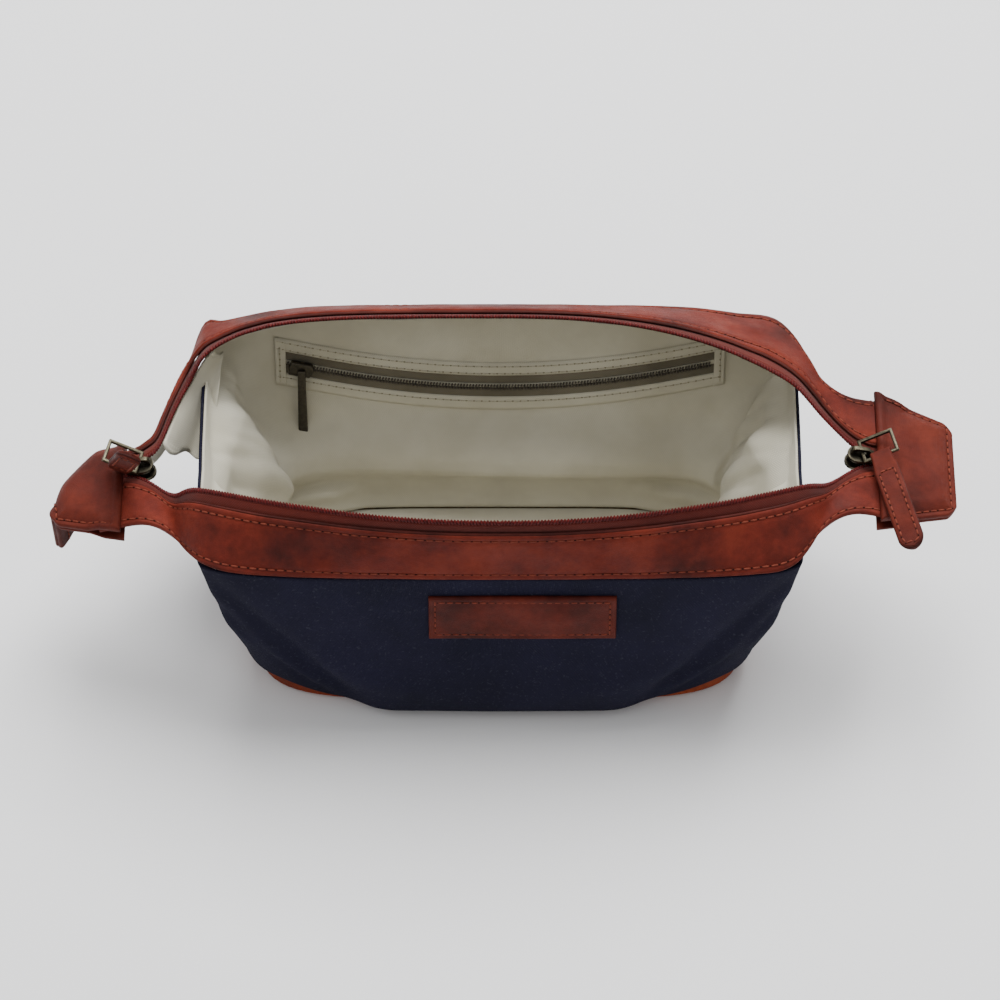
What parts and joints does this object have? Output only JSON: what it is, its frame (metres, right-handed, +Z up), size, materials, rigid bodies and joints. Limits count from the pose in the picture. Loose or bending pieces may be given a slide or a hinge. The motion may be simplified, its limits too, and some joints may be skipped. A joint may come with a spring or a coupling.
{
  "type": "wash bag",
  "caption": "Open-mouthed canvas and leather wash bag with a two-way zip, end tabs, a leather base and a zipped lining pocket.",
  "frame": {"origin": "middle of the bag's overall box, on the ground", "axes": "+X along the zip, from tab to tab; +Y towards the back wall, which holds the pocket; +Z up"},
  "size_m": [0.368, 0.1364, 0.1378],
  "materials": {
    "leather": "matte pull-up leather",
    "base_leather": "matte pull-up leather, a little brighter",
    "canvas": "plain-woven cotton canvas",
    "lining": "plain-woven cotton",
    "zip_tape": "woven polyester tape",
    "zip_coil": "moulded nylon coil",
    "antique_brass": "dark antique plating, worn at the edges",
    "dark_bronze": "dark bronze plating",
    "pocket_tape": "woven polyester tape",
    "pocket_coil": "nylon coil",
    "board": "stiff fibreboard"
  },
  "bodies": {
    "base": {"base_leather": "base_leather", "base_board": "board", "lining_floor": "lining", "left_gusset_canvas": "canvas", "right_gusset_canvas": "canvas", "left_side_lining": "lining", "right_side_lining": "lining", "left_tab_upper": "leather", "left_tab_lower": "leather", "right_tab_upper": "leather", "right_tab_lower": "leather", "left_zip_stop": "antique_brass", "right_zip_stop": "antique_brass", "front_left_corner_canvas": "canvas", "front_left_wing_band": "leather", "front_left_wing_tape": "zip_tape", "front_left_wing_coil": "zip_coil", "front_right_corner_canvas": "canvas", "front_right_wing_band": "leather", "front_right_wing_tape": "zip_tape", "front_right_wing_coil": "zip_coil", "back_left_corner_canvas": "canvas", "back_left_wing_band": "leather", "back_left_wing_tape": "zip_tape", "back_left_wing_coil": "zip_coil", "back_right_corner_canvas": "canvas", "back_right_wing_band": "leather", "back_right_wing_tape": "zip_tape", "back_right_wing_coil": "zip_coil"},
    "front_wall": {"front_canvas": "canvas", "front_lining": "lining", "front_band": "leather", "front_zip_tape": "zip_tape", "front_zip_coil": "zip_coil", "leather_patch": "leather"},
    "back_wall": {"back_canvas": "canvas", "back_lining": "lining", "back_band": "leather", "back_zip_tape": "zip_tape", "back_zip_coil": "zip_coil", "pocket_welt_upper": "lining", "pocket_welt_lower": "lining", "pocket_tape_upper": "pocket_tape", "pocket_tape_lower": "pocket_tape", "pocket_coil": "pocket_coil", "pocket_bag": "lining"},
    "left_slider": {"left_slider": "antique_brass"},
    "left_ring": {"left_ring": "antique_brass"},
    "left_pull": {"left_pull": "leather"},
    "right_slider": {"right_slider": "antique_brass"},
    "right_ring": {"right_ring": "antique_brass"},
    "right_pull": {"right_pull": "leather"},
    "pocket_slider": {"pocket_slider": "dark_bronze"},
    "pocket_pull": {"pocket_pull": "dark_bronze"}
  },
  "joints": [
    {"name": "front_wall_fold", "type": "hinge", "parent": "base", "child": "front_wall", "pos_m": [0, -0.05501, 0.005], "axis": [-1, 0, 0], "range_deg": [0, 21.5]},
    {"name": "back_wall_fold", "type": "hinge", "parent": "base", "child": "back_wall", "pos_m": [0, 0.04099, 0.005], "axis": [1, 0, 0], "range_deg": [0, 22.3]},
    {"name": "left_slider_travel", "type": "slide", "parent": "base", "child": "left_slider", "axis": [0.9701, 0, 0.2425], "range_m": [0, 0.01]},
    {"name": "right_slider_travel", "type": "slide", "parent": "base", "child": "right_slider", "axis": [-0.9701, 0, 0.2425], "range_m": [0, 0.01]},
    {"name": "left_ring_flip", "type": "hinge", "parent": "left_slider", "child": "left_ring", "pos_m": [-0.14545, -0.00801, 0.09616], "axis": [0.2511, 0.9659, 0.0628], "range_deg": [0, 50]},
    {"name": "right_ring_flip", "type": "hinge", "parent": "right_slider", "child": "right_ring", "pos_m": [0.14545, -0.00801, 0.10316], "axis": [0.2511, -0.9659, -0.0628], "range_deg": [0, 75]},
    {"name": "left_pull_swing", "type": "hinge", "parent": "left_ring", "child": "left_pull", "pos_m": [-0.15293, -0.01116, 0.098], "axis": [-0.9232, 0.2195, 0.3154], "range_deg": [-54, 46]},
    {"name": "right_pull_swing", "type": "hinge", "parent": "right_ring", "child": "right_pull", "pos_m": [0.15293, -0.01116, 0.105], "axis": [-0.9232, -0.2195, -0.3154], "range_deg": [0, 90]},
    {"name": "pocket_slider_travel", "type": "hinge", "parent": "back_wall", "child": "pocket_slider", "pos_m": [0, 0.1157, 0.3614], "axis": [0, -0.9797, 0.2005], "range_deg": [0, 28.8]},
    {"name": "pocket_pull_swing", "type": "hinge", "parent": "pocket_slider", "child": "pocket_pull", "pos_m": [-0.08184, 0.05416, 0.07765], "axis": [-0.9998, -0.0199, 0.0041], "range_deg": [0, 110]}
  ]
}
